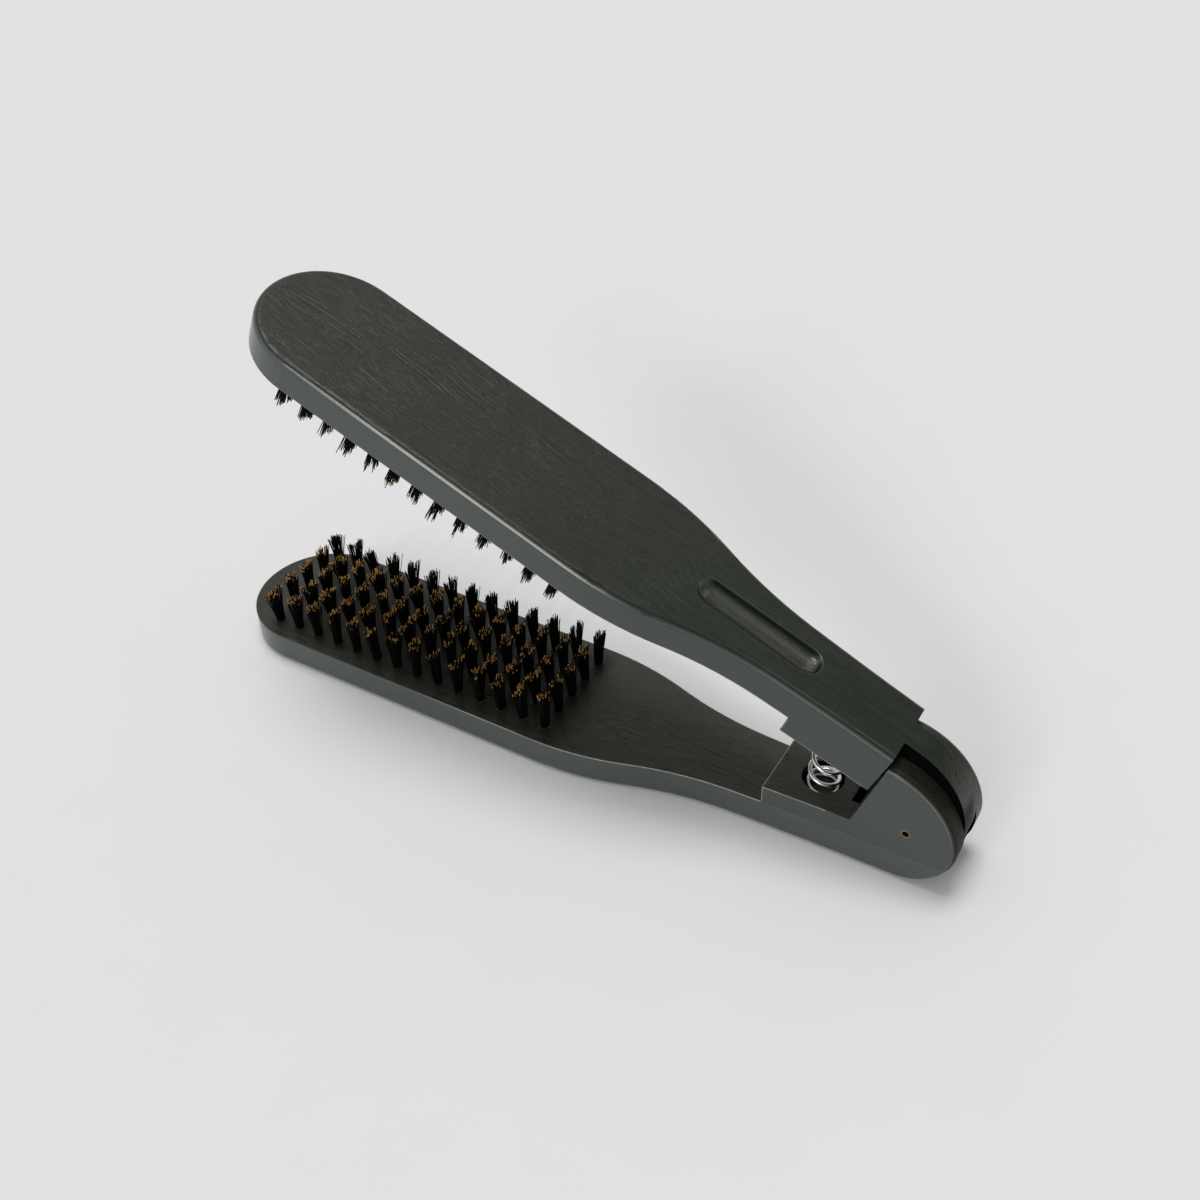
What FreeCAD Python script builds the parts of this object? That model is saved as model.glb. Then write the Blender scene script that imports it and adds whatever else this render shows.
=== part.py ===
"""Double-sided hair grooming brush: two wooden paddles with bristle tufts on their facing sides.

The paddles are hinged at the handle end with a fork, a tongue and a tubular pin, and a coil spring holds
them open in a V. All sizes are millimetres. The origin is the middle of the lower paddle's resting face,
X runs from the head to the hinge, Y across the paddle and Z up. The upper paddle is drawn parallel to the
lower one, as if closed, and is then turned open about the pin.
"""
import FreeCAD, Part
import math
import os
from FreeCAD import Vector

# Paddle boards
LENGTH = 249.7            # head tip to hinge end
HEAD_WIDTH = 46.4
HEAD_LENGTH = 120.3       # head tip to the start of the shoulder
SHOULDER_LENGTH = 61.6
NECK_WIDTH = 25.1         # handle width where the shoulder ends
END_WIDTH = 22.7          # handle width at the hinge
BOARD_THICK = 10.2
HEAD_GAP = 21.0           # between the boards when they lie parallel
END_LEAN = 8.0            # the round hinge end starts so much sooner on the upper back than on the lower one
EDGE_ROUND = 2.0          # on the outer edges of both paddles
GROOVE_LENGTH = 40.8      # thumb groove in the upper handle
GROOVE_WIDTH = 9.8
GROOVE_DEPTH = 2.4
GROOVE_INSET = 79.5       # hinge end to the middle of the groove

# Hinge
OPEN_ANGLE = 22.7         # degrees between the boards at rest
BLOCK_THICK = 6.2
FORK_LENGTH = 57.3        # front of the lower hinge block to the hinge end
SPACER_LENGTH = 58.7      # front of the upper hinge block to the hinge end
PIN_INSET = 14.4          # pin axis to the hinge end
PIN_HEIGHT = 19.3         # pin axis above the resting face
PIN_DIAMETER = 3.2
PIN_BORE = 2.0
PIN_SEAT_CLEAR = 0.01     # pin in the fork's cheeks
PIN_RUN_CLEAR = 0.06      # pin in the tongue
TONGUE_WIDTH = 8.4
SLOT_CLEAR = 0.4          # tongue to each cheek
SLOT_LEAD = 18.5          # slot's front wall to the pin axis
KNUCKLE_CLEAR = 0.4       # tongue to the floor of the slot
SHOULDER_LEAD = 15.6      # square end of the upper handle to the pin axis
CHEEK_SLANT = 20.0        # degrees from upright to the fork's front
STOP_GAP = 0.5            # square end to the top of the fork's front at rest

# Spring
SPRING_DIAMETER = 10.2
WIRE = 1.3
WIRE_SIDES = 8
TURNS = 6.5
END_PITCH = 1.85          # rise of the first and the last turn
SPRING_LEAD = 29.2        # spring's foot to the pin axis
POCKET_DEPTH = 4.6
POCKET_CLEAR = 1.15       # spring to the pocket's wall
SPRING_SEAT = 0.2         # spring to the pocket's floor

# Bristle tufts
TUFT_ROWS = 5
LOWER_COLUMNS = 14
UPPER_COLUMNS = 13        # set halfway between the lower ones
ROW_EDGE = 7.2            # outer rows to the sides of the head
COLUMN_PITCH = 8.0
TUFT_INSET = 17.2         # head tip to the first lower column
TUFT_HEIGHT = 12.8        # above the board
TUFT_TIP = 3.2            # tufts and their sockets are measured across the corners
TUFT_ROOT = 2.4
TUFT_SIDES = 6
SOCKET_CLEAR = 0.15       # tuft to the wall of its socket at the board's face
SOCKET_DEPTH = 6.0
ROOT_CLEAR = 0.1          # anchor to the floor of the socket and to the tuft
ANCHOR_THICK = 0.4        # flat wire that holds the folded tuft
ANCHOR_HEIGHT = 1.4
ANCHOR_END_CLEAR = 0.1    # anchor to the wall of the socket

# Places worked out from the sizes
TIP_X = -LENGTH / 2
END_X = LENGTH / 2
SHOULDER_X = TIP_X + HEAD_LENGTH
NECK_X = SHOULDER_X + SHOULDER_LENGTH
PIN_X = END_X - PIN_INSET
FORK_X = END_X - FORK_LENGTH
SPACER_X = END_X - SPACER_LENGTH
CLOSED_HEIGHT = 2 * BOARD_THICK + HEAD_GAP
END_SPAN = math.hypot(CLOSED_HEIGHT, END_LEAN)
LOW_RADIUS = (CLOSED_HEIGHT ** 2 + (END_SPAN - END_LEAN) ** 2) / (4 * CLOSED_HEIGHT)
TOP_RADIUS = (CLOSED_HEIGHT ** 2 + (END_SPAN + END_LEAN) ** 2) / (4 * CLOSED_HEIGHT)
LOW_ROUND_X = END_X - LOW_RADIUS      # start of the round hinge end on the lower back
TOP_ROUND_X = LOW_ROUND_X - END_LEAN
UPPER_FACE = CLOSED_HEIGHT - BOARD_THICK
LOWER_BLOCK_TOP = BOARD_THICK + BLOCK_THICK
UPPER_BLOCK_FACE = UPPER_FACE - BLOCK_THICK
SQUARE_END_X = PIN_X - SHOULDER_LEAD
KNUCKLE = PIN_HEIGHT - BOARD_THICK - KNUCKLE_CLEAR
PIN_AXIS = Vector(PIN_X, 0, PIN_HEIGHT)
OPEN = math.radians(OPEN_ANGLE)
WIDE = HEAD_WIDTH + END_WIDTH         # reaches past the sides of any piece
NEAR = 1e-4


def opened(shape):
    """The shape turned with the upper paddle from parallel to its rest pose."""
    turned = shape.copy()
    turned.rotate(PIN_AXIS, Vector(0, 1, 0), OPEN_ANGLE)
    return turned


def opened_point(x, z):
    """A point of the upper paddle in the XZ plane, turned to the rest pose."""
    run = x - PIN_X
    rise = z - PIN_HEIGHT
    return (PIN_X + run * math.cos(OPEN) + rise * math.sin(OPEN),
            PIN_HEIGHT - run * math.sin(OPEN) + rise * math.cos(OPEN))


def box_between(x0, x1, half_y, z0, z1):
    return Part.makeBox(x1 - x0, 2 * half_y, z1 - z0, Vector(x0, -half_y, z0))


def side_prism(points):
    """A polygon of XZ points, run across the whole width."""
    corners = [Vector(x, -WIDE, z) for x, z in points]
    return closed_face(corners).extrude(Vector(0, 2 * WIDE, 0))


def cross_bore(diameter):
    """A cutter along the pin axis."""
    return Part.makeCylinder(diameter / 2, 2 * WIDE, Vector(PIN_X, -WIDE, PIN_HEIGHT), Vector(0, 1, 0))


def arc_from_corner(start, corner, finish):
    """The arc between two points that touches both lines from their shared tangent corner."""
    middle = (start + finish) * 0.5
    height = corner - middle
    half_angle = math.asin(height.Length / (corner - start).Length)
    bulge = (finish - start).Length / 2 * math.tan(half_angle / 2)
    return Part.Arc(start, middle + height.normalize() * bulge, finish).toShape()


def biarc(start, leave, finish, arrive):
    """Two tangent arcs from one point and direction to another."""
    span = finish - start
    both = leave + arrive
    a = 2 * (1 - leave.dot(arrive))
    b = 2 * span.dot(both)
    reach = (math.sqrt(b * b + 4 * a * span.dot(span)) - b) / (2 * a)
    first = start + leave * reach
    second = finish - arrive * reach
    joint = (first + second) * 0.5
    return [arc_from_corner(start, first, joint), arc_from_corner(joint, second, finish)]


def plan_side(side, z):
    """One side of the paddle seen from above: straight head, curved shoulder, waisted handle, straight hinge."""
    head = side * HEAD_WIDTH / 2
    neck = side * NECK_WIDTH / 2
    end = side * END_WIDTH / 2
    waist = 2 * math.atan((neck - end) / (LOW_ROUND_X - NECK_X))
    along = Vector(1, 0, 0)
    down = Vector(math.cos(waist), -math.sin(waist), 0)
    tip_side = Vector(TIP_X + HEAD_WIDTH / 2, head, z)
    shoulder = Vector(SHOULDER_X, head, z)
    neck_side = Vector(NECK_X, neck, z)
    hinge_side = Vector(LOW_ROUND_X, end, z)
    corner = hinge_side - along * ((neck - end) / math.sin(waist))
    edges = biarc(shoulder, along, neck_side, down)
    edges.append(Part.makeLine(tip_side, shoulder))
    edges.append(arc_from_corner(neck_side, corner, hinge_side))
    edges.append(Part.makeLine(hinge_side, Vector(END_X, end, z)))
    return edges


def plan_prism(z0, z1):
    """The paddle's outline seen from above, between two heights."""
    head = HEAD_WIDTH / 2
    end = END_WIDTH / 2
    tip = [Vector(TIP_X + head, -head, z0), Vector(TIP_X, 0, z0), Vector(TIP_X + head, head, z0)]
    edges = [Part.Arc(*tip).toShape()]
    edges.append(Part.makeLine(Vector(END_X, -end, z0), Vector(END_X, end, z0)))
    for side in (1, -1):
        edges += plan_side(side, z0)
    outline = Part.Wire(Part.__sortEdges__(edges))
    return Part.Face(outline).extrude(Vector(0, 0, z1 - z0))


def closed_profile():
    """The closed brush seen from the side: two flat backs and a round hinge end of two arcs."""
    back = TIP_X - 1
    start = Vector(LOW_ROUND_X, -WIDE, 0)
    finish = Vector(TOP_ROUND_X, -WIDE, CLOSED_HEIGHT)
    corner_top = Vector(back, -WIDE, CLOSED_HEIGHT)
    corner_bottom = Vector(back, -WIDE, 0)
    edges = biarc(start, Vector(1, 0, 0), finish, Vector(-1, 0, 0))
    edges.append(Part.makeLine(finish, corner_top))
    edges.append(Part.makeLine(corner_top, corner_bottom))
    edges.append(Part.makeLine(corner_bottom, start))
    return Part.Face(Part.Wire(edges)).extrude(Vector(0, 2 * WIDE, 0))


def on_outer_skin(point):
    """Whether a point lies on the flat backs or on the round hinge end of the closed brush."""
    if point.z > CLOSED_HEIGHT / 2:
        start_x, radius, depth = TOP_ROUND_X, TOP_RADIUS, CLOSED_HEIGHT - point.z
    else:
        start_x, radius, depth = LOW_ROUND_X, LOW_RADIUS, point.z
    if point.x <= start_x:
        return depth < NEAR
    return abs(math.hypot(point.x - start_x, radius - depth) - radius) < NEAR


def round_outer_edges(shape, inner_z):
    """Round the edges between the paddle's sides and its outer skin, but not where it was cut."""
    chosen = []
    for edge in shape.Edges:
        points = edge.discretize(5)
        skin = all(on_outer_skin(point) for point in points)
        level = all(abs(point.z - inner_z) < NEAR for point in points)
        straight_across = all(abs(point.x - points[0].x) < NEAR for point in points)
        slot_edge = all(abs(abs(point.y) - slot_half()) < NEAR for point in points)
        if skin and not level and not straight_across and not slot_edge:
            chosen.append(edge)
    return shape.makeFillet(EDGE_ROUND, chosen)


def slot_half():
    return TONGUE_WIDTH / 2 + SLOT_CLEAR


def tuft_places(columns):
    """The middles of the tufts, one list of points for each lengthwise row."""
    first = TIP_X + TUFT_INSET + (LOWER_COLUMNS - columns) * COLUMN_PITCH / 2
    pitch = (HEAD_WIDTH - 2 * ROW_EDGE) / (TUFT_ROWS - 1)
    rows = []
    for row in range(TUFT_ROWS):
        y = ROW_EDGE - HEAD_WIDTH / 2 + row * pitch
        rows.append([(first + column * COLUMN_PITCH, y) for column in range(columns)])
    return rows


def ring(middle, across, along, diameter, sides):
    """Corners of a regular section, from its middle and two directions square to each other."""
    corners = []
    for index in range(sides):
        turn = 2 * math.pi * index / sides
        corners.append(middle + (across * math.cos(turn) + along * math.sin(turn)) * (diameter / 2))
    return corners


def tuft_ring(diameter, z):
    """Corners of a tuft's or a socket's section on the origin."""
    return ring(Vector(0, 0, z), Vector(1, 0, 0), Vector(0, 1, 0), diameter, TUFT_SIDES)


def closed_face(corners):
    return Part.Face(Part.makePolygon(corners + corners[:1]))


def root_depth():
    """Depth of a tuft's root below the board's face, on top of its anchor."""
    return SOCKET_DEPTH - ANCHOR_HEIGHT - 2 * ROOT_CLEAR


def socket_width():
    """Width of a tuft where it leaves the board, and its clearance."""
    share = root_depth() / (root_depth() + TUFT_HEIGHT)
    return TUFT_ROOT + share * (TUFT_TIP - TUFT_ROOT) + 2 * SOCKET_CLEAR


def tuft_sockets(columns, face_z, direction):
    """Cutters for the blind sockets in one board, sunk from its inner face."""
    drill = closed_face(tuft_ring(socket_width(), 0)).extrude(Vector(0, 0, -direction * SOCKET_DEPTH))
    return [drill.translated(Vector(x, y, face_z)) for row in tuft_places(columns) for x, y in row]


def lower_board():
    board = plan_prism(0, BOARD_THICK).common(closed_profile())
    board = round_outer_edges(board, BOARD_THICK)
    return board.cut(tuft_sockets(LOWER_COLUMNS, BOARD_THICK, 1))


def upper_board():
    """The upper board, whose middle third runs on past its square end as the tongue."""
    board = plan_prism(UPPER_FACE, CLOSED_HEIGHT).common(closed_profile())
    tongue = board.common(box_between(SHOULDER_X, END_X, TONGUE_WIDTH / 2, UPPER_FACE, CLOSED_HEIGHT))
    handle = board.common(box_between(TIP_X, SQUARE_END_X, WIDE, UPPER_FACE, CLOSED_HEIGHT))
    board = round_outer_edges(handle, UPPER_FACE).fuse(tongue).removeSplitter()
    board = board.cut(thumb_groove())
    return board.cut(tuft_sockets(UPPER_COLUMNS, UPPER_FACE, -1))


def thumb_groove():
    """A round-bottomed cutter with ball ends, sunk into the upper paddle's back."""
    radius = (GROOVE_WIDTH ** 2 / 4 + GROOVE_DEPTH ** 2) / (2 * GROOVE_DEPTH)
    run = GROOVE_LENGTH - GROOVE_WIDTH
    height = CLOSED_HEIGHT - GROOVE_DEPTH + radius
    start = Vector(END_X - GROOVE_INSET - run / 2, 0, height)
    cutter = Part.makeCylinder(radius, run, start, Vector(1, 0, 0))
    for shift in (0, run):
        cutter = cutter.fuse(Part.makeSphere(radius, start + Vector(shift, 0, 0)))
    return cutter.removeSplitter()


def cheek_front():
    """Foot and top of the fork's slanted front, whose top stops the open upper paddle's square end."""
    corner_x, corner_z = opened_point(SQUARE_END_X, CLOSED_HEIGHT)
    top_x = corner_x - (corner_z - CLOSED_HEIGHT) * math.tan(OPEN) + STOP_GAP / math.cos(OPEN)
    foot_x = top_x - (CLOSED_HEIGHT - LOWER_BLOCK_TOP) * math.tan(math.radians(CHEEK_SLANT))
    return (foot_x, LOWER_BLOCK_TOP), (top_x, CLOSED_HEIGHT)


def spring_pocket(x, face_z, direction):
    """A round pocket sunk from a hinge block's face."""
    radius = SPRING_DIAMETER / 2 + POCKET_CLEAR
    return Part.makeCylinder(radius, POCKET_DEPTH, Vector(x, 0, face_z), Vector(0, 0, -direction))


def lower_fork_block():
    """The lower hinge block: a flat foot for the spring and two cheeks with a slot between them."""
    foot, top = cheek_front()
    profile = side_prism([
        (FORK_X, BOARD_THICK),
        (END_X, BOARD_THICK),
        (END_X, CLOSED_HEIGHT),
        top,
        foot,
        (FORK_X, LOWER_BLOCK_TOP),
    ])
    block = plan_prism(BOARD_THICK, CLOSED_HEIGHT).common(closed_profile()).common(profile)
    block = block.cut(box_between(PIN_X - SLOT_LEAD, END_X, slot_half(), BOARD_THICK, CLOSED_HEIGHT))
    block = round_outer_edges(block, BOARD_THICK)
    block = block.cut(spring_pocket(PIN_X - SPRING_LEAD, LOWER_BLOCK_TOP, 1))
    return block.cut(cross_bore(PIN_DIAMETER + 2 * PIN_SEAT_CLEAR))


def knuckle_profile():
    """The tongue's lower part from the side, round about the pin and clear of the slot's floor at both limits."""
    side = -TONGUE_WIDTH / 2
    front = PIN_X - KNUCKLE
    turn = (math.sin(OPEN), -math.cos(OPEN))
    half_turn = math.sqrt(0.5)
    past_end = END_X + KNUCKLE
    low_front = Vector(PIN_X, side, PIN_HEIGHT - KNUCKLE)
    low_rear = Vector(PIN_X + KNUCKLE * turn[0], side, PIN_HEIGHT + KNUCKLE * turn[1])
    mid_front = Vector(PIN_X - KNUCKLE * half_turn, side, PIN_HEIGHT - KNUCKLE * half_turn)
    mid_rear = Vector(PIN_X + KNUCKLE * math.sin(OPEN / 2), side, PIN_HEIGHT - KNUCKLE * math.cos(OPEN / 2))
    rear = Vector(past_end, side, low_rear.z + (past_end - low_rear.x) * math.tan(OPEN))
    top_rear = Vector(past_end, side, UPPER_FACE)
    top_front = Vector(front, side, UPPER_FACE)
    level_front = Vector(front, side, PIN_HEIGHT)
    edges = [
        Part.Arc(level_front, mid_front, low_front).toShape(),
        Part.Arc(low_front, mid_rear, low_rear).toShape(),
        Part.makeLine(low_rear, rear),
        Part.makeLine(rear, top_rear),
        Part.makeLine(top_rear, top_front),
        Part.makeLine(top_front, level_front),
    ]
    return Part.Face(Part.Wire(edges)).extrude(Vector(0, TONGUE_WIDTH, 0))


def upper_hinge_block():
    """The upper hinge block: a spacer under the handle and the knuckle that the pin passes through."""
    spacer = plan_prism(UPPER_BLOCK_FACE, UPPER_FACE)
    spacer = spacer.common(box_between(SPACER_X, SQUARE_END_X, WIDE, UPPER_BLOCK_FACE, UPPER_FACE))
    web = box_between(SQUARE_END_X, PIN_X, TONGUE_WIDTH / 2, UPPER_BLOCK_FACE, UPPER_FACE)
    knuckle = knuckle_profile().common(closed_profile())
    block = spacer.fuse([web, knuckle]).removeSplitter()
    block = block.cut(spring_pocket(upper_pocket_x(), UPPER_BLOCK_FACE, -1))
    return block.cut(cross_bore(PIN_DIAMETER + 2 * PIN_RUN_CLEAR))


def hinge_pin():
    """The tubular pin, flush with the fork's sides."""
    start = Vector(PIN_X, -END_WIDTH / 2, PIN_HEIGHT)
    tube = Part.makeCylinder(PIN_DIAMETER / 2, END_WIDTH, start, Vector(0, 1, 0))
    return tube.cut(cross_bore(PIN_BORE))


def spring_bend():
    """Radius of the arc that leaves the lower pocket's floor square and meets the upper one's square."""
    low_z = LOWER_BLOCK_TOP - POCKET_DEPTH - PIN_HEIGHT
    high_z = UPPER_BLOCK_FACE + POCKET_DEPTH - PIN_HEIGHT
    return (high_z + SPRING_LEAD * math.sin(OPEN) - low_z * math.cos(OPEN)) / math.sin(OPEN)


def spring_axis(length):
    """A point of the spring's bent axis at a length from the lower floor, and the direction of its bend there."""
    bend = spring_bend()
    turn = length / bend
    foot_x = PIN_X - SPRING_LEAD
    foot_z = LOWER_BLOCK_TOP - POCKET_DEPTH
    point = Vector(foot_x + bend * (1 - math.cos(turn)), 0, foot_z + bend * math.sin(turn))
    return point, Vector(math.cos(turn), 0, -math.sin(turn))


def upper_pocket_x():
    """Where the spring's axis meets the upper block, measured on the closed brush."""
    head, _ = spring_axis(spring_bend() * OPEN)
    run = head.x - PIN_X
    rise = head.z - PIN_HEIGHT
    return PIN_X + run * math.cos(OPEN) - rise * math.sin(OPEN)


def coil_rise(turn):
    """Height of the wire's middle above the lower floor, with an easy change of pitch after the end turns."""
    first = WIRE / 2 + SPRING_SEAT
    total = spring_bend() * OPEN - 2 * first
    steep = (total - END_PITCH * TURNS) / (TURNS - 2)

    def eased(count):
        share = min(max(count - 0.5, 0), 1)
        return share ** 3 - share ** 4 / 2 + max(count - 1.5, 0)

    return first + END_PITCH * turn + steep * (eased(turn) - eased(turn - TURNS + 2))


def coil_point(turn):
    """A point of the wire's middle on a left-hand coil that starts on the head's side."""
    radius = (SPRING_DIAMETER - WIRE) / 2
    middle, bend = spring_axis(coil_rise(turn))
    angle = 2 * math.pi * turn
    return middle - bend * (radius * math.cos(angle)) + Vector(0, radius * math.sin(angle), 0)


def coil_direction(turn):
    step = 1e-4
    return (coil_point(turn + step) - coil_point(turn - step)).normalize()


def coil_gap():
    """Least gap between one turn of the wire and the next."""
    per_turn = 48
    count = round(TURNS * per_turn)
    points = [coil_point(index / per_turn) for index in range(count + 1)]
    gaps = []
    for index, point in enumerate(points):
        for other in points[index + per_turn // 2:]:
            gaps.append(point.distanceToPoint(other))
    return min(gaps) - WIRE


def coil_spring():
    """One faceted wire, straight for a wire's width at each end."""
    spans = round(TURNS * 2)
    turns = [TURNS * index / spans for index in range(spans + 1)]
    points = [coil_point(turn) for turn in turns]
    ways = [coil_direction(turn) for turn in turns]
    lead = points[0] - ways[0] * WIRE
    edges = [Part.makeLine(lead, points[0])]
    for index in range(spans):
        edges += biarc(points[index], ways[index], points[index + 1], ways[index + 1])
    edges.append(Part.makeLine(points[-1], points[-1] + ways[-1] * WIRE))
    across = ways[0].cross(Vector(0, 0, 1)).normalize()
    corners = ring(lead, across, across.cross(ways[0]), WIRE, WIRE_SIDES)
    section = Part.makePolygon(corners + corners[:1])
    return Part.Wire(edges).makePipeShell([section], True, False)


def tuft():
    """One bristle tuft on the origin: a bundle that spreads a little from its root to its tip."""
    root = tuft_ring(TUFT_ROOT, -root_depth())
    tip = tuft_ring(TUFT_TIP, TUFT_HEIGHT)
    faces = [closed_face(root), closed_face(tip)]
    for index in range(TUFT_SIDES):
        faces.append(closed_face([root[index - 1], root[index], tip[index], tip[index - 1]]))
    return Part.Solid(Part.Shell(faces))


def anchor():
    """The flat piece of wire across a socket, under the tuft that is folded round it."""
    half = ANCHOR_THICK / 2
    reach = socket_width() / 2 * math.cos(math.pi / TUFT_SIDES) - ANCHOR_END_CLEAR
    bottom = ROOT_CLEAR - SOCKET_DEPTH
    return box_between(-half, half, reach, bottom, bottom + ANCHOR_HEIGHT)


def rows_of(piece, columns, face_z):
    """Copies of a piece at every tuft's place in one board, as one group for each row."""
    rows = []
    for row in tuft_places(columns):
        rows.append(Part.makeCompound([piece.translated(Vector(x, y, face_z)) for x, y in row]))
    return rows


def upside_down(piece):
    return piece.mirror(Vector(0, 0, 0), Vector(0, 0, 1))


def build():
    nodes = {
        "lower_board": lower_board(),
        "lower_fork_block": lower_fork_block(),
        "hinge_pin": hinge_pin(),
        "spring": coil_spring(),
        "upper_board": opened(upper_board()),
        "upper_hinge_block": opened(upper_hinge_block()),
    }
    for name, piece in (("tuft", tuft()), ("anchor", anchor())):
        for index, row in enumerate(rows_of(piece, LOWER_COLUMNS, BOARD_THICK), 1):
            nodes[f"lower_{name}_row_{index}"] = row
        for index, row in enumerate(rows_of(upside_down(piece), UPPER_COLUMNS, UPPER_FACE), 1):
            nodes[f"upper_{name}_row_{index}"] = opened(row)
    return nodes


os.makedirs("parts", exist_ok=True)
for node, shape in build().items():
    shape.exportStep(f"parts/{node}.step")
print(f"least gap between the spring's turns: {coil_gap():.2f} mm")
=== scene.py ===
import math
import random

import bmesh
import bpy
from mathutils import Matrix, Vector


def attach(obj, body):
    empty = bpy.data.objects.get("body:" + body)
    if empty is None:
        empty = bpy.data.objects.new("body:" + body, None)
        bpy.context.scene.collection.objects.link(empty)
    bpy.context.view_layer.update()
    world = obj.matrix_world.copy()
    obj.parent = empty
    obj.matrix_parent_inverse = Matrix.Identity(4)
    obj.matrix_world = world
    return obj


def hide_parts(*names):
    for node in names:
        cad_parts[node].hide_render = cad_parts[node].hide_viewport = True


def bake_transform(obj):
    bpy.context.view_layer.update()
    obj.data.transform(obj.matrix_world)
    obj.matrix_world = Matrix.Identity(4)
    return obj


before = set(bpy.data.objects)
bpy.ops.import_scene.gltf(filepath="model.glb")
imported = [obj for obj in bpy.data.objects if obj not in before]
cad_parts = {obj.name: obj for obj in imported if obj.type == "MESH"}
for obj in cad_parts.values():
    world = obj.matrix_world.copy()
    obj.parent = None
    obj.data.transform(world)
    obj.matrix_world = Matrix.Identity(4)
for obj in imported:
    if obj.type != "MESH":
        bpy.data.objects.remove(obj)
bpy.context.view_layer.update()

# The lower paddle: one board of open-grained hardwood, sawn to its outline, planed, and rounded over along its outer
# edge. It is dyed black and sealed with a thin satin coat, which fills the sawn sides better than the flat faces. Its
# edges are painted pale, partly as wear and partly as painted highlight.
MM = 0.001


class Finish:
    """One output of a material's nodes. Arithmetic on it adds Math nodes to the same material."""

    def __init__(self, tree, socket=None):
        self.tree = tree
        self.socket = socket

    def node(self, kind, settings, inputs, output=0):
        """A new node with its settings, then the values or links of its sockets; gives one of its outputs."""
        made = self.tree.nodes.new(kind)
        for name, value in settings.items():
            setattr(made, name, value)
        for name, value in inputs.items():
            socket = self.named(made.inputs, name)
            if isinstance(value, Finish):
                self.tree.links.new(value.socket, socket)
            else:
                socket.default_value = value
        return Finish(self.tree, self.named(made.outputs, output))

    def named(self, sockets, name):
        if isinstance(name, int):
            return sockets[name]
        return next(socket for socket in sockets if socket.enabled and socket.name == name)

    def math(self, operation, first, second):
        return self.node("ShaderNodeMath", {"operation": operation}, {0: first, 1: second})

    def __add__(self, other):
        return self.math("ADD", self, other)

    def __radd__(self, other):
        return self.math("ADD", other, self)

    def __sub__(self, other):
        return self.math("SUBTRACT", self, other)

    def __rsub__(self, other):
        return self.math("SUBTRACT", other, self)

    def __mul__(self, other):
        return self.math("MULTIPLY", self, other)

    def __rmul__(self, other):
        return self.math("MULTIPLY", other, self)

    def parts(self):
        """The x, y and z of a vector."""
        return [self.node("ShaderNodeSeparateXYZ", {}, {"Vector": self}, axis) for axis in "XYZ"]

    def rise(self, low, high):
        """0 below low, 1 above high, and a smooth step between."""
        limits = {"Value": self, "From Min": low, "From Max": high}
        return self.node("ShaderNodeMapRange", {"interpolation_type": "SMOOTHSTEP"}, limits, "Result")

    def band(self, start, full, fade, end):
        """1 between full and fade, with smooth steps from start and to end."""
        return self.rise(start, full) * (1 - self.rise(fade, end))

    def within(self, near, far):
        """1 up to near on both sides of zero, and 0 beyond far."""
        return 1 - (self * self).rise(near ** 2, far ** 2)

    def streaks(self, length, width, detail, roughness=0.5):
        """Noise whose spots have this length along x and this width across it."""
        size = {"Vector": self, "Scale": (1 / length, 1 / width, 1 / width)}
        spots = self.node("ShaderNodeMapping", {}, size)
        noise = {"Vector": spots, "Scale": 1.0, "Detail": detail, "Roughness": roughness}
        return self.node("ShaderNodeTexNoise", {}, noise, "Fac")

    def mix(self, share, first, second):
        """A colour between two colours."""
        colours = {"Factor": share, "A": first, "B": second}
        return self.node("ShaderNodeMix", {"data_type": "RGBA"}, colours, "Result")


def new_finish(name):
    """A material of that name, its first tone and its shader."""
    material = bpy.data.materials.new(name)
    material.use_nodes = True
    tree = material.node_tree
    return material, Finish(tree), tree.nodes["Principled BSDF"]


def feed(shader, **inputs):
    """Sets or links the shader's sockets, whose names are given with _ for a space."""
    for name, value in inputs.items():
        socket = shader.inputs[name.replace("_", " ")]
        if isinstance(value, Finish):
            value.tree.links.new(value.socket, socket)
        else:
            socket.default_value = value


def tint(red, green, blue):
    """A colour as a paint card gives it, 0 to 255."""
    shares = [part / 255 for part in (red, green, blue)]
    return [part / 12.92 if part <= 0.04045 else ((part + 0.055) / 1.055) ** 2.4 for part in shares] + [1.0]


BROWN_BLACK = tint(29, 29, 18)
WARM_BLACK = tint(36, 36, 26)
SIDE_GREY = tint(70, 77, 76)
RING_BROWN = tint(52, 53, 42)
PORE_BLACK = tint(4, 5, 3)
VEIN_BLACK = tint(8, 9, 6)
SAWN_PORE = tint(34, 37, 36)
# The next four are painted light and wear on the wood: a cream for painted highlight lines, a pale grey for edges that
# are partly worn and partly painted highlight, a grey for painted highlights in the thumb groove, and a near-black for
# painted shade.
PAINTED_HIGHLIGHT_CREAM = tint(206, 201, 178)
WEAR_AND_HIGHLIGHT_GREY = tint(194, 191, 171)
GROOVE_HIGHLIGHT_GREY = tint(104, 108, 98)
PAINTED_SHADE_BLACK = tint(11, 12, 10)
EDGE_WEAR = 0.6 * MM
GRAIN_DEPTH = 0.12 * MM
SLOT_WALL = (6.164, 6.633)
FIELD_MIDDLE = 122
FIELD_LENGTH = (51.96, 57.45)
FIELD_WIDTH = (17.03, 22.8)
SEAM_HEIGHT = (0.447, 0.707)
HEAD_TO_HANDLE = (-60, 10)
CHEEK_TOP = (22, 26)
STOP_FACE = (26.5, 27.5)


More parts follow.
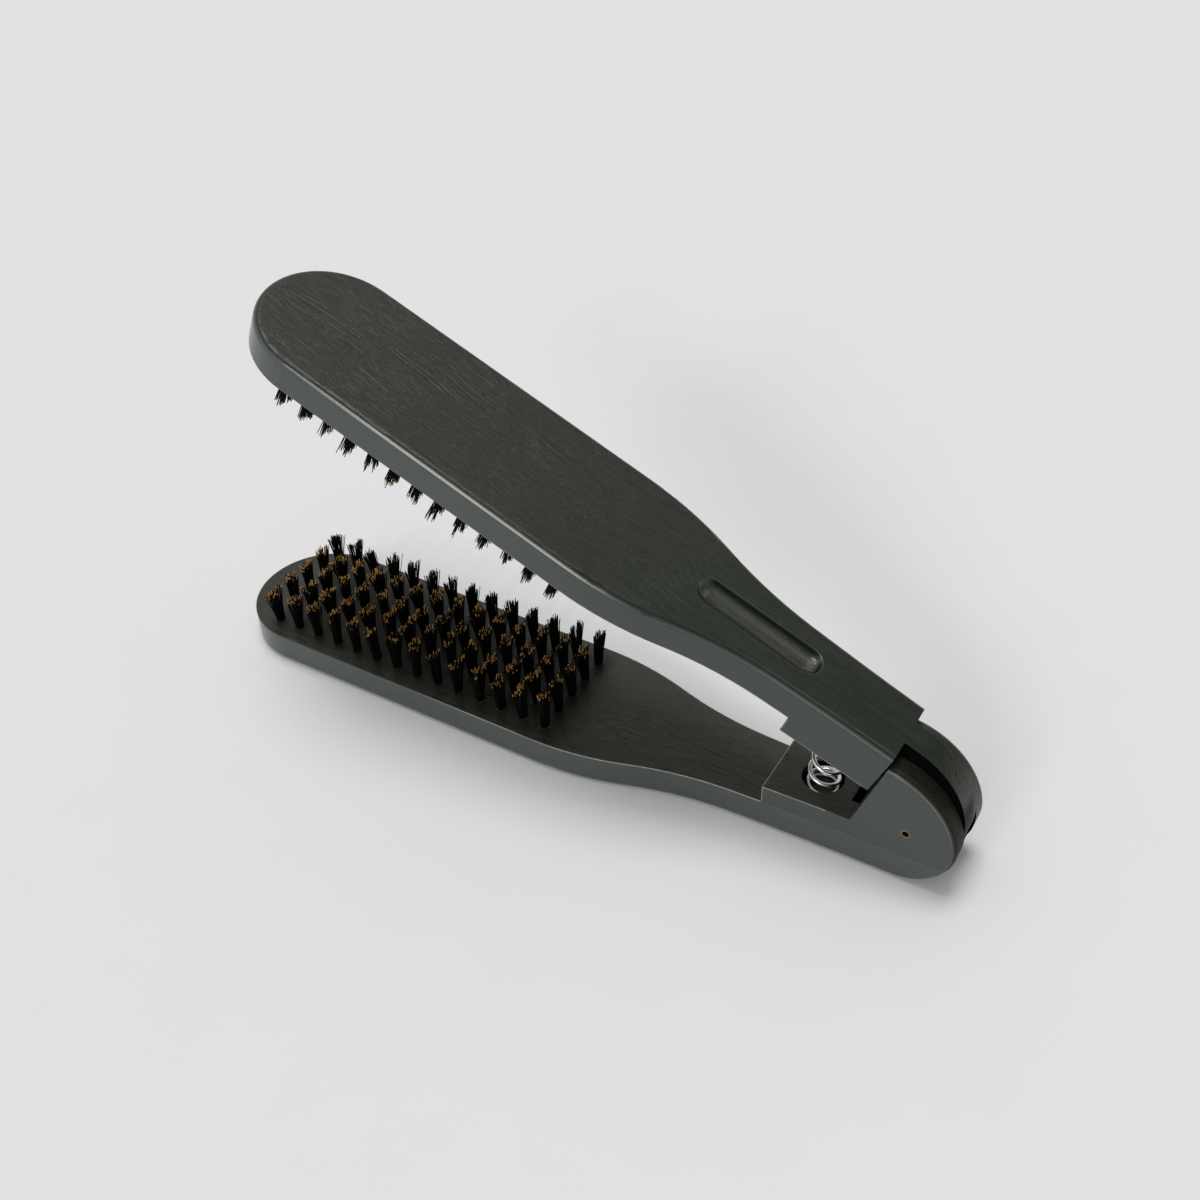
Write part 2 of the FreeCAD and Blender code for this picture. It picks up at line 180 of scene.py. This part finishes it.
def stained_wood(name, turn, cut, hinge_from, seam, dye, inside, groove=None):
    """Dyed hardwood with its grain along x, in lengths of mm. turn lays an open paddle level, and cut is a place in the
    plank. Beyond hinge_from, the near cheek's top and the walls of the slot and the spring's bores get painted dark
    shade, and edges beyond seam are glued shut. dye has the tones of the faces at the head and the handle, then those
    of the sawn sides. inside is 1 or -1 where the bristled face looks up or down, and the face among the bristles gets
    painted shade. groove has the ends of a milled groove and the height of its rim."""
    material, wood, shader = new_finish(name)
    here = wood.node("ShaderNodeTexCoord", {}, {}, "Object")
    level = {"Vector": here, "Rotation": (0, turn, 0), "Scale": (1 / MM, 1 / MM, 1 / MM)}
    level = wood.node("ShaderNodeMapping", {}, level)
    plank = wood.node("ShaderNodeVectorMath", {"operation": "ADD"}, {0: level, 1: cut})
    along, across, height = level.parts()
    facing = wood.node("ShaderNodeTexCoord", {}, {}, "Normal")
    facing = {"Vector": facing, "Rotation": (0, turn, 0)}
    facing = wood.node("ShaderNodeMapping", {"vector_type": "VECTOR"}, facing)
    endward, sideways, upward = facing.parts()

    # Which side of the piece this is, and where painted shade darkens the slot walls, the near cheek's top and the face
    # among the bristles.
    hinged = along.rise(hinge_from, hinge_from + 0.2)
    lying = upward * upward
    lying = lying + hinged * (1 - sideways * sideways - lying)
    face = lying.rise(0.25, 0.8)
    planed = lying.rise(0.6, 0.92)
    rounded = lying.band(0.01, 0.05, 0.94, 0.985)
    slotted = hinged * across.within(*SLOT_WALL)
    # Painted shade on the near side of the cheek's top beyond the stop.
    cheek_top_shade = 0.66 * face * along.rise(hinge_from + CHEEK_TOP[0], hinge_from + CHEEK_TOP[1]) * (1 - across.rise(0, 6))
    painted_shade = cheek_top_shade + (sideways * sideways).rise(0.2, 0.6) * slotted * (1 - cheek_top_shade)
    # Painted shade on the bristled face among the tufts.
    bristle_field_shade = across.within(*FIELD_WIDTH) * (along - seam[0] + FIELD_MIDDLE).within(*FIELD_LENGTH)
    bristle_field_shade = bristle_field_shade * (upward * inside).rise(0.6, 0.9)
    glued = along.rise(seam[0] - 0.3, seam[0]) * (height - seam[1]).within(*SEAM_HEIGHT)

    # The grain, which wavers along the plank.
    bend = wood.node("ShaderNodeTexNoise", {}, {"Vector": plank, "Scale": 0.025, "Detail": 2.0}, "Color")
    wavy = wood.node("ShaderNodeVectorMath", {"operation": "MULTIPLY_ADD"}, {0: bend, 1: (0, 9, 9), 2: plank})
    rings = wavy.streaks(length=60, width=1.5, detail=3.0, roughness=0.6).rise(0.3, 0.7)
    fibre = wavy.streaks(length=16, width=0.36, detail=3.0, roughness=0.7)
    pores = wavy.streaks(length=6.0, width=0.36, detail=1.0).rise(0.52, 0.68)
    dashes = pores * (0.3 + 0.7 * rings)
    veins = wavy.streaks(length=140, width=1.0, detail=1.0).rise(0.6, 0.7)
    clouds = plank.streaks(length=30, width=16, detail=2.0)

    # The wear and painted highlight: sharp edges are painted pale, partly as wear and partly as painted highlight, but
    # not where they are glued or shut in. Rounded ones get two painted highlight lines.
    true_side = wood.node("ShaderNodeNewGeometry", {}, {}, "Normal")
    soft_edge = wood.node("ShaderNodeBevel", {"samples": 6}, {"Radius": EDGE_WEAR})
    closed = {"Factor": 0.97 * glued, "A": soft_edge, "B": true_side}
    soft_edge = wood.node("ShaderNodeMix", {"data_type": "VECTOR"}, closed, "Result")
    turned = {0: soft_edge, 1: true_side}
    edge = 1 - wood.node("ShaderNodeVectorMath", {"operation": "DOT_PRODUCT"}, turned, "Value")
    handled = (0.4 + 0.6 * clouds.rise(0.3, 0.55)) * (0.15 + 0.85 * along.rise(-60, -20))
    wear_and_highlight = edge.rise(0.015, 0.11) * handled * (1 - slotted) * (1 - rounded)
    wear_and_highlight = wear_and_highlight * (1 - along.rise(seam[0] + STOP_FACE[0], seam[0] + STOP_FACE[1]))
    if groove:
        start, stop, top = groove
        rim = along.band(start - 1.5, start - 1, stop + 1, stop + 1.5) * across.within(6, 6.48)
        wear_and_highlight = wear_and_highlight * (1 - 0.85 * rim)
    # Painted highlight lines along the rounded edges, on the lower and upper bounds of each fillet's upper half. They
    # are faint at the head and stronger towards the hinge.
    low_highlight_line = lying.band(0.08, 0.16, 0.22, 0.34)
    top_highlight_line = lying.band(0.8, 0.9, 0.95, 0.985)
    highlight_strength = 0.04 + 0.09 * along.rise(20, 50)
    painted_edge_highlight = highlight_strength * (low_highlight_line + 0.45 * top_highlight_line) * upward.rise(-0.05, 0.3)

    flat = wood.mix(along.rise(*HEAD_TO_HANDLE), dye[0], dye[1])
    flat = wood.mix(rings * 0.35, flat, RING_BROWN)
    flat = wood.mix(dashes * 0.9, flat, PORE_BLACK)
    flat = wood.mix(veins * 0.6, flat, VEIN_BLACK)
    sawn = wood.mix(along.rise(*HEAD_TO_HANDLE), dye[2], dye[3])
    sawn = wood.mix(dashes * 0.12, sawn, SAWN_PORE)
    colour = wood.mix(face, sawn, flat)
    colour = wood.mix(painted_edge_highlight, colour, PAINTED_HIGHLIGHT_CREAM)
    colour = wood.mix(wear_and_highlight * 0.95, colour, WEAR_AND_HIGHLIGHT_GREY)
    # The painted shade among the bristles, varied by the clouds.
    painted_shade = painted_shade + bristle_field_shade * (0.22 + 0.3 * clouds) * (1 - painted_shade)
    dull = 0.18 + 0.06 * clouds + (0.08 + 0.14 * fibre + 0.22 * dashes) * planed
    depth = (0.8 * fibre - 1.0 * dashes - 0.8 * veins + 0.35 * rings) * planed

    # The groove gets painted shade on its far wall and right end, painted highlight bands along its floor and painted
    # glints at its ends.
    if groove:
        milled = along.band(start - 0.5, start, stop, stop + 0.5) * across.within(4.9, 5.196)
        milled = milled * (1 - height.rise(top - 0.3, top - 0.1)) * upward.rise(0.2, 0.4)
        # Painted shade on the groove's far wall and right end.
        groove_wall_shade = milled * (1 - sideways.rise(-0.68, -0.52) * endward.rise(-0.66, -0.5))
        # Painted highlight bands along the groove's floor, and painted glints at its ends.
        swept = sideways.band(-0.56, -0.42, 0.02, 0.12) * (0.2 + 0.6 * fibre)
        groove_floor_highlight = sideways.band(0.04, 0.12, 0.16, 0.3) * (0.3 + 0.7 * rings)
        groove_end_glint = endward.band(0.1, 0.2, 0.32, 0.5) * sideways.within(0.1414, 0.3162)
        colour = wood.mix(milled * (swept + groove_floor_highlight + groove_end_glint) * 0.38, colour, GROOVE_HIGHLIGHT_GREY)
        # A painted highlight line along the board's rounded edge beside the bristles.
        head_edge_highlight = (top - height).band(0.75, 1.0, 1.25, 1.5) * along.band(-122, -75, -26, 0)
        colour = wood.mix(head_edge_highlight * (0.5 + 0.3 * clouds), colour, PAINTED_HIGHLIGHT_CREAM)
        painted_shade = painted_shade + 0.85 * groove_wall_shade * (1 - painted_shade)
        depth = depth * (1 + 1.5 * milled)
    relief = {"Strength": 0.6, "Distance": GRAIN_DEPTH, "Height": depth, "Normal": soft_edge}
    relief = wood.node("ShaderNodeBump", {}, relief, "Normal")
    feed(shader, Base_Color=colour, Roughness=dull, Normal=relief, Specular_IOR_Level=0.45)

    sealed = Finish(wood.tree, shader.outputs["BSDF"])
    # A near-black matte shader, mixed in wherever shade is painted.
    shade_bsdf = wood.node("ShaderNodeBsdfDiffuse", {}, {"Color": PAINTED_SHADE_BLACK}, "BSDF")
    either = wood.node("ShaderNodeMixShader", {}, {0: painted_shade, 1: sealed, 2: shade_bsdf}, "Shader")
    feed(wood.tree.nodes["Material Output"], Surface=either)
    return material


def dress(node, material):
    """A turned or sawn part as it stands, with its finish."""
    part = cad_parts[node]
    part.data.materials.clear()
    part.data.materials.append(material)


LOWER_FACE = 10.2
UNSLOTTED = 200
brown_dye = (WARM_BLACK, WARM_BLACK, SIDE_GREY, tint(73, 79, 78))
lower_stain = stained_wood("lower_board_stain", turn=0.0, cut=(0, 0, 0), hinge_from=UNSLOTTED, seam=(67.5, LOWER_FACE),
                           dye=brown_dye, inside=1)
dress("lower_board", lower_stain)

# The upper paddle: the twin of the lower board, with a thumb groove milled along its handle. Its middle third runs on
# past the square end as the tongue, so the same plank's grain bends over the round of the hinge.
UPPER_FACE = 31.2
OPEN_ANGLE = math.radians(22.7)
hinge_place = Vector((110.45 * MM, 0, 19.3 * MM))
laid = (Matrix.Rotation(-OPEN_ANGLE, 3, "Y") @ hinge_place - hinge_place) / MM
square_end = 94.85 + laid.x
upper_seam = (66.15 + laid.x, UPPER_FACE + laid.z)
thumb_groove = (24.95 + laid.x, 65.75 + laid.x, 41.4 + laid.z)
green_dye = (BROWN_BLACK, tint(14, 27, 12), SIDE_GREY, tint(60, 66, 65))
upper_stain = stained_wood("upper_board_stain", turn=-OPEN_ANGLE, cut=(410, 63, 28), hinge_from=square_end,
                           seam=upper_seam, dye=green_dye, inside=-1, groove=thumb_groove)
dress("upper_board", upper_stain)

# The anchors: short pieces of flat zinc-coated wire, one across the bottom of each socket. The hairs are folded round
# them, and their ends bite into the wood when the filling machine drives them home.
ROWS = range(1, 6)
material, zinc, shader = new_finish("anchor_zinc")
here = zinc.node("ShaderNodeTexCoord", {}, {}, "Object")
spangle = zinc.node("ShaderNodeTexNoise", {}, {"Vector": here, "Scale": 900.0, "Detail": 2.0}, "Fac")
feed(shader, Base_Color=zinc.mix(spangle, tint(150, 152, 154), tint(196, 198, 200)), Metallic=1.0)
feed(shader, Roughness=0.3 + 0.3 * spangle)
for row in ROWS:
    dress(f"lower_anchor_row_{row}", material)
    dress(f"upper_anchor_row_{row}", material)

# The bristles: bundles of black-dyed hog hair in five lengthwise rows on each paddle, clipped level after filling.
# The hairs fan out above the socket, no two alike, and most keep the gold of their own split ends.
ROW_PITCH = 8.0 * MM
TUFT_PITCH = 8.0 * MM
LOWER_TUFTS = 14
UPPER_TUFTS = 13
LOWER_FIRST = -107.65 * MM
UPPER_FIRST = -103.65 * MM
MIDDLE_ROW = 3
DARK_ROW = 5
HAIRS = 72
LOCKS = 8
HAIR_WIDTH = 0.3 * MM
ROOT = 4.4 * MM
REACH = 12.8 * MM
FOOT_RADIUS = 1.32 * MM
FAN_ALONG = 1.6
FAN_ACROSS = 2.7
FAN_LIMIT = 1.85 * MM
GOLDEN_TURN = 2.39996
opened = Matrix.Translation(hinge_place) @ Matrix.Rotation(OPEN_ANGLE, 4, "Y") @ Matrix.Translation(-hinge_place)

material, hair, shader = new_finish("hog_bristle")
strand = hair.node("ShaderNodeUVMap", {"uv_map": "strand"}, {}, "UV")
luck, along = strand.parts()[:2]
here = hair.node("ShaderNodeTexCoord", {}, {}, "Object")
mottle = hair.node("ShaderNodeTexNoise", {}, {"Vector": here, "Scale": 1400.0, "Detail": 2.0}, "Fac")
gold = (along + 0.05 * luck).rise(0.955, 0.99) * luck.rise(0.48, 0.56)
shaft = hair.mix(mottle, tint(3, 4, 3), tint(9, 10, 8))
split_end = hair.mix(mottle, tint(112, 76, 32), tint(216, 170, 98))
feed(shader, Base_Color=hair.mix(gold, shaft, split_end), Roughness=0.55 + 0.3 * mottle, Specular_IOR_Level=0.08)

one_hair = bmesh.new()
bmesh.ops.create_cone(one_hair, cap_ends=True, segments=4, radius1=0.5, radius2=0.42, depth=1.0)
bmesh.ops.translate(one_hair, verts=one_hair.verts, vec=(0, 0, 0.5))
long_edges = [edge for edge in one_hair.edges if abs(edge.verts[0].co.z - edge.verts[1].co.z) > 0.5]
bmesh.ops.subdivide_edges(one_hair, edges=long_edges, cuts=2)
hair_shape = bpy.data.meshes.new("hair_shape")
one_hair.to_mesh(hair_shape)
one_hair.free()


def bristle_row(name, node, body, columns, first, across, face, direction, place, lightness):
    """One lengthwise row of tufts, standing on a level face and then put in place."""
    chance = random.Random(name)
    row = bmesh.new()
    lots = []
    lengths = []
    for column in range(columns):
        middle = Vector((first + column * TUFT_PITCH, across, face))
        lean = Vector((chance.gauss(0, 0.12), chance.gauss(0, 0.4), 0)) * MM
        strays = [Vector((chance.gauss(0, 0.3), chance.gauss(0, 0.8), 0)) for lock in range(LOCKS)]
        trims = [chance.triangular(-2.2, 0.2, 0.0) for lock in range(LOCKS)]
        shades = [chance.random() * lightness for lock in range(LOCKS)]
        for hair in range(HAIRS):
            turn = hair * GOLDEN_TURN % (2 * math.pi)
            lock = int(turn / (2 * math.pi) * LOCKS)
            out = Vector((math.cos(turn), math.sin(turn), 0)) * math.sqrt((hair + 0.5) / HAIRS)
            foot = out * FOOT_RADIUS
            spread = Vector((out.x * FAN_ALONG + chance.gauss(0, 0.2), out.y * FAN_ACROSS + chance.gauss(0, 0.45), 0))
            tip = (spread + strays[lock]) * MM + lean
            tip.x = min(max(tip.x, -FAN_LIMIT), FAN_LIMIT)
            length = REACH + (trims[lock] + chance.uniform(-0.9, 0.2)) * MM
            spin = Matrix.Rotation(chance.uniform(0, 3), 3, "Z")
            start = len(row.verts)
            row.from_mesh(hair_shape)
            row.verts.ensure_lookup_table()
            lots.append(0.4 * shades[lock] + 0.6 * chance.random() * lightness)
            lengths.append(length)
            for point in row.verts[start:]:
                share = point.co.z
                height = share * (ROOT + length) - ROOT
                fan = max(height, 0) / length
                girth = spin @ Vector((point.co.x, point.co.y, 0)) * HAIR_WIDTH
                drift = foot.lerp(tip, fan * (0.6 + 0.4 * fan))
                point.co = middle + drift + girth + Vector((0, 0, height * direction))
    strand = row.loops.layers.uv.new("strand")
    for index, side in enumerate(row.faces):
        hair = index * len(lots) // len(row.faces)
        for corner in side.loops:
            height = (corner.vert.co.z - face) * direction
            corner[strand].uv = (lots[hair], max(height, 0) / lengths[hair])
    row.transform(place)
    bmesh.ops.recalc_face_normals(row, faces=row.faces)
    mesh = bpy.data.meshes.new(name)
    row.to_mesh(mesh)
    row.free()
    mesh.shade_smooth()
    mesh.materials.append(material)
    tufts = bpy.data.objects.new(name, mesh)
    bpy.context.scene.collection.objects.link(tufts)
    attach(tufts, body)
    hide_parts(node)


for row in ROWS:
    across = (row - MIDDLE_ROW) * ROW_PITCH
    bristle_row(f"lower_bristles_{row}", f"lower_tuft_row_{row}", "lower_paddle", LOWER_TUFTS, LOWER_FIRST, across,
                LOWER_FACE * MM, 1, Matrix.Identity(4), 0.55 if row == DARK_ROW else 1.0)
    bristle_row(f"upper_bristles_{row}", f"upper_tuft_row_{row}", "upper_paddle", UPPER_TUFTS, UPPER_FIRST, across,
                UPPER_FACE * MM, -1, opened, 1.0)

# The hinge blocks: a fork glued on the lower handle and a spacer glued under the upper one, sawn from offcuts of the
# same wood. Each is bored for an end of the spring, and both for the pin.
FORK_SLOT = 72
SPACER_LENGTH = 35
block_dye = (WARM_BLACK, tint(42, 42, 31), SIDE_GREY, tint(63, 69, 68))
fork_stain = stained_wood("fork_block_stain", turn=0.0, cut=(150, 211, 75), hinge_from=FORK_SLOT, seam=(60, LOWER_FACE),
                          dye=block_dye, inside=1)
dress("lower_fork_block", fork_stain)
block_stain = stained_wood("hinge_block_stain", turn=-OPEN_ANGLE, cut=(720, 135, 190),
                           hinge_from=square_end - SPACER_LENGTH, seam=upper_seam, dye=green_dye, inside=-1)
dress("upper_hinge_block", block_stain)

# The spring: hard-drawn wire wound left-handed with a closed turn at each end, then bright nickel plated. It stands in
# the two bored pockets and bows with the open paddles, so its ends sit square on both floors.
WIRE = 1.3 * MM
WIRE_SIDES = 14
COIL_RADIUS = 4.45 * MM
TURNS = 6.5
STEPS = 28
CLOSED_TURN = 0.35
END_PITCH = 1.32 * MM
END_RISE = 0.66 * MM
END_BEVEL = 0.15 * MM
FOOT = Vector((81.25, 0, 11.8)) * MM
BOW = 73.82 * MM
open_turns = TURNS - 1 - 2 * CLOSED_TURN
steep = (BOW * OPEN_ANGLE - 2 * END_RISE - END_PITCH * TURNS) / open_turns


def eased(turn):
    """How far the pitch has opened out, as a count of open turns."""
    step = min(max(turn - CLOSED_TURN, 0), 1)
    return step ** 3 - step ** 4 / 2 + max(turn - CLOSED_TURN - 1, 0)


def height_at(turn):
    """Height of the wire's middle above the foot, with the pitch opening out after the closed end turns."""
    return END_RISE + END_PITCH * turn + steep * (eased(turn) - eased(turn - open_turns))


coil = bmesh.new()
start = Matrix.Translation((-COIL_RADIUS, 0, height_at(0))) @ Matrix.Rotation(math.pi / 2, 4, "X")
bmesh.ops.create_circle(coil, cap_ends=True, segments=WIRE_SIDES, radius=WIRE / 2, matrix=start)
last = coil.verts[:] + coil.edges[:] + coil.faces[:]
for step in range(round(TURNS * STEPS)):
    climb = height_at((step + 1) / STEPS) - height_at(step / STEPS)
    swept = bmesh.ops.spin(coil, geom=last, cent=(0, 0, 0), axis=(0, 0, 1), dvec=(0, 0, climb),
                           angle=-2 * math.pi / STEPS, steps=1, use_merge=False)
    last = swept["geom_last"]
bmesh.ops.holes_fill(coil, edges=coil.edges, sides=0)
cut_ends = [edge for edge in coil.edges if any(len(side.verts) > 4 for side in edge.link_faces)]
bmesh.ops.bevel(coil, geom=cut_ends, offset=END_BEVEL, affect="EDGES", segments=2, profile=0.5, material=-1)
for point in coil.verts:
    turn = point.co.z / BOW
    axis = Vector((BOW * (1 - math.cos(turn)), 0, BOW * math.sin(turn)))
    outward = Vector((math.cos(turn), 0, -math.sin(turn)))
    point.co = FOOT + axis + outward * point.co.x + Vector((0, point.co.y, 0))
bmesh.ops.recalc_face_normals(coil, faces=coil.faces)
mesh = bpy.data.meshes.new("coil_spring")
coil.to_mesh(mesh)
coil.free()
mesh.shade_smooth()
spring = bpy.data.objects.new("coil_spring", mesh)
bpy.context.scene.collection.objects.link(spring)

material, nickel, shader = new_finish("bright_nickel")
here = nickel.node("ShaderNodeTexCoord", {}, {}, "Object")
stain = nickel.node("ShaderNodeTexNoise", {}, {"Vector": here, "Scale": 260.0, "Detail": 3.0}, "Fac")
draw_marks = nickel.node("ShaderNodeTexNoise", {}, {"Vector": here, "Scale": 2600.0, "Detail": 2.0}, "Fac")
feed(shader, Base_Color=nickel.mix(stain, tint(228, 230, 230), tint(250, 250, 250)), Metallic=1.0)
feed(shader, Roughness=0.12 + 0.16 * stain + 0.08 * draw_marks)
scratch = {"Strength": 0.06, "Distance": 0.05 * MM, "Height": draw_marks}
feed(shader, Normal=nickel.node("ShaderNodeBump", {}, scratch, "Normal"))
mesh.materials.append(material)
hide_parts("spring")
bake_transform(spring)

# The hinge pin: a length of drawn brass tube pressed into both cheeks, with the tongue's knuckle running free on it.
# Its ends are faced off level with the wood and have dulled to a pale brown.
PIN_BEVEL = 0.2 * MM
material, brass, shader = new_finish("pin_brass")
here = brass.node("ShaderNodeTexCoord", {}, {}, "Object")
dulled = brass.node("ShaderNodeTexNoise", {}, {"Vector": here, "Scale": 700.0, "Detail": 3.0}, "Fac")
rim = brass.node("ShaderNodeBevel", {"samples": 6}, {"Radius": PIN_BEVEL})
feed(shader, Base_Color=brass.mix(dulled, tint(88, 82, 66), tint(150, 140, 112)), Metallic=1.0)
feed(shader, Roughness=0.25 + 0.3 * dulled, Normal=rim)
dress("hinge_pin", material)

# The setting: a pale grey paper floor under a wide overhead lamp, with two small ones in front that draw the shine
# along the rounded edges. The camera looks down past the hinge end.
FLOOR_REACH = 3.0
floor_mesh = bmesh.new()
bmesh.ops.create_grid(floor_mesh, x_segments=1, y_segments=1, size=FLOOR_REACH)
mesh = bpy.data.meshes.new("paper_floor")
floor_mesh.to_mesh(mesh)
floor_mesh.free()
material, paper, shader = new_finish("grey_paper")
here = paper.node("ShaderNodeTexCoord", {}, {}, "Object")
tooth = paper.node("ShaderNodeTexNoise", {}, {"Vector": here, "Scale": 40.0, "Detail": 2.0}, "Fac")
feed(shader, Base_Color=paper.mix(tooth, tint(223, 223, 223), tint(225, 225, 225)), Roughness=0.9)
feed(shader, Specular_IOR_Level=0.0)
mesh.materials.append(material)
floor = bpy.data.objects.new("paper_floor", mesh)
bpy.context.scene.collection.objects.link(floor)

world = bpy.data.worlds.new("studio")
world.use_nodes = True
bpy.context.scene.world = world
sky = Finish(world.node_tree)
outlook = sky.node("ShaderNodeTexCoord", {}, {}, "Generated")
rightward = sky.node("ShaderNodeSeparateXYZ", {}, {"Vector": outlook}, "X").rise(-0.1, 0.5)
feed(world.node_tree.nodes["Background"], Color=sky.mix(rightward, tint(198, 198, 198), tint(136, 136, 136)))


def studio_lamp(name, place, width, strength):
    """A far, wide lamp that lights the whole floor alike."""
    lamp = bpy.data.lights.new(name, "SUN")
    lamp.angle = math.radians(width)
    lamp.energy = strength
    holder = bpy.data.objects.new(name, lamp)
    holder.rotation_euler = (-Vector(place)).to_track_quat("-Z", "Y").to_euler()
    holder.location = place
    bpy.context.scene.collection.objects.link(holder)


studio_lamp("key_lamp", place=(-0.1, 0.1, 0.99), width=25, strength=1.43)
studio_lamp("front_lamp", place=(-0.12, -0.85, 0.5), width=14, strength=0.55)
studio_lamp("hinge_lamp", place=(0.13, -0.86, 0.48), width=7, strength=0.24)

CAMERA_TURN = math.radians(32.127)
CAMERA_RISE = math.radians(40.406)
CAMERA_ROLL = math.radians(-2.35)
CAMERA_DISTANCE = 0.49274
LOOK_AT = Vector((-12.79, 33.07, 20.0)) * MM
SENSOR = 36.0
PICTURE_WIDTH = 1200
FOCAL_LENGTH = 1517.64
level_reach = math.cos(CAMERA_RISE)
back = Vector((math.sin(CAMERA_TURN) * level_reach, -math.cos(CAMERA_TURN) * level_reach, math.sin(CAMERA_RISE)))
right = Vector((math.cos(CAMERA_TURN), math.sin(CAMERA_TURN), 0))
upright = Matrix((right, back.cross(right), back)).transposed()
aim = (upright @ Matrix.Rotation(CAMERA_ROLL, 3, "Z")).to_4x4()
lens = bpy.data.cameras.new("camera")
lens.sensor_width = SENSOR
lens.lens = FOCAL_LENGTH / PICTURE_WIDTH * SENSOR
lens.clip_start = 0.01
camera = bpy.data.objects.new("camera", lens)
camera.matrix_world = Matrix.Translation(LOOK_AT + back * CAMERA_DISTANCE) @ aim
bpy.context.scene.collection.objects.link(camera)
bpy.context.scene.camera = camera
bpy.context.scene.view_settings.view_transform = "Standard"
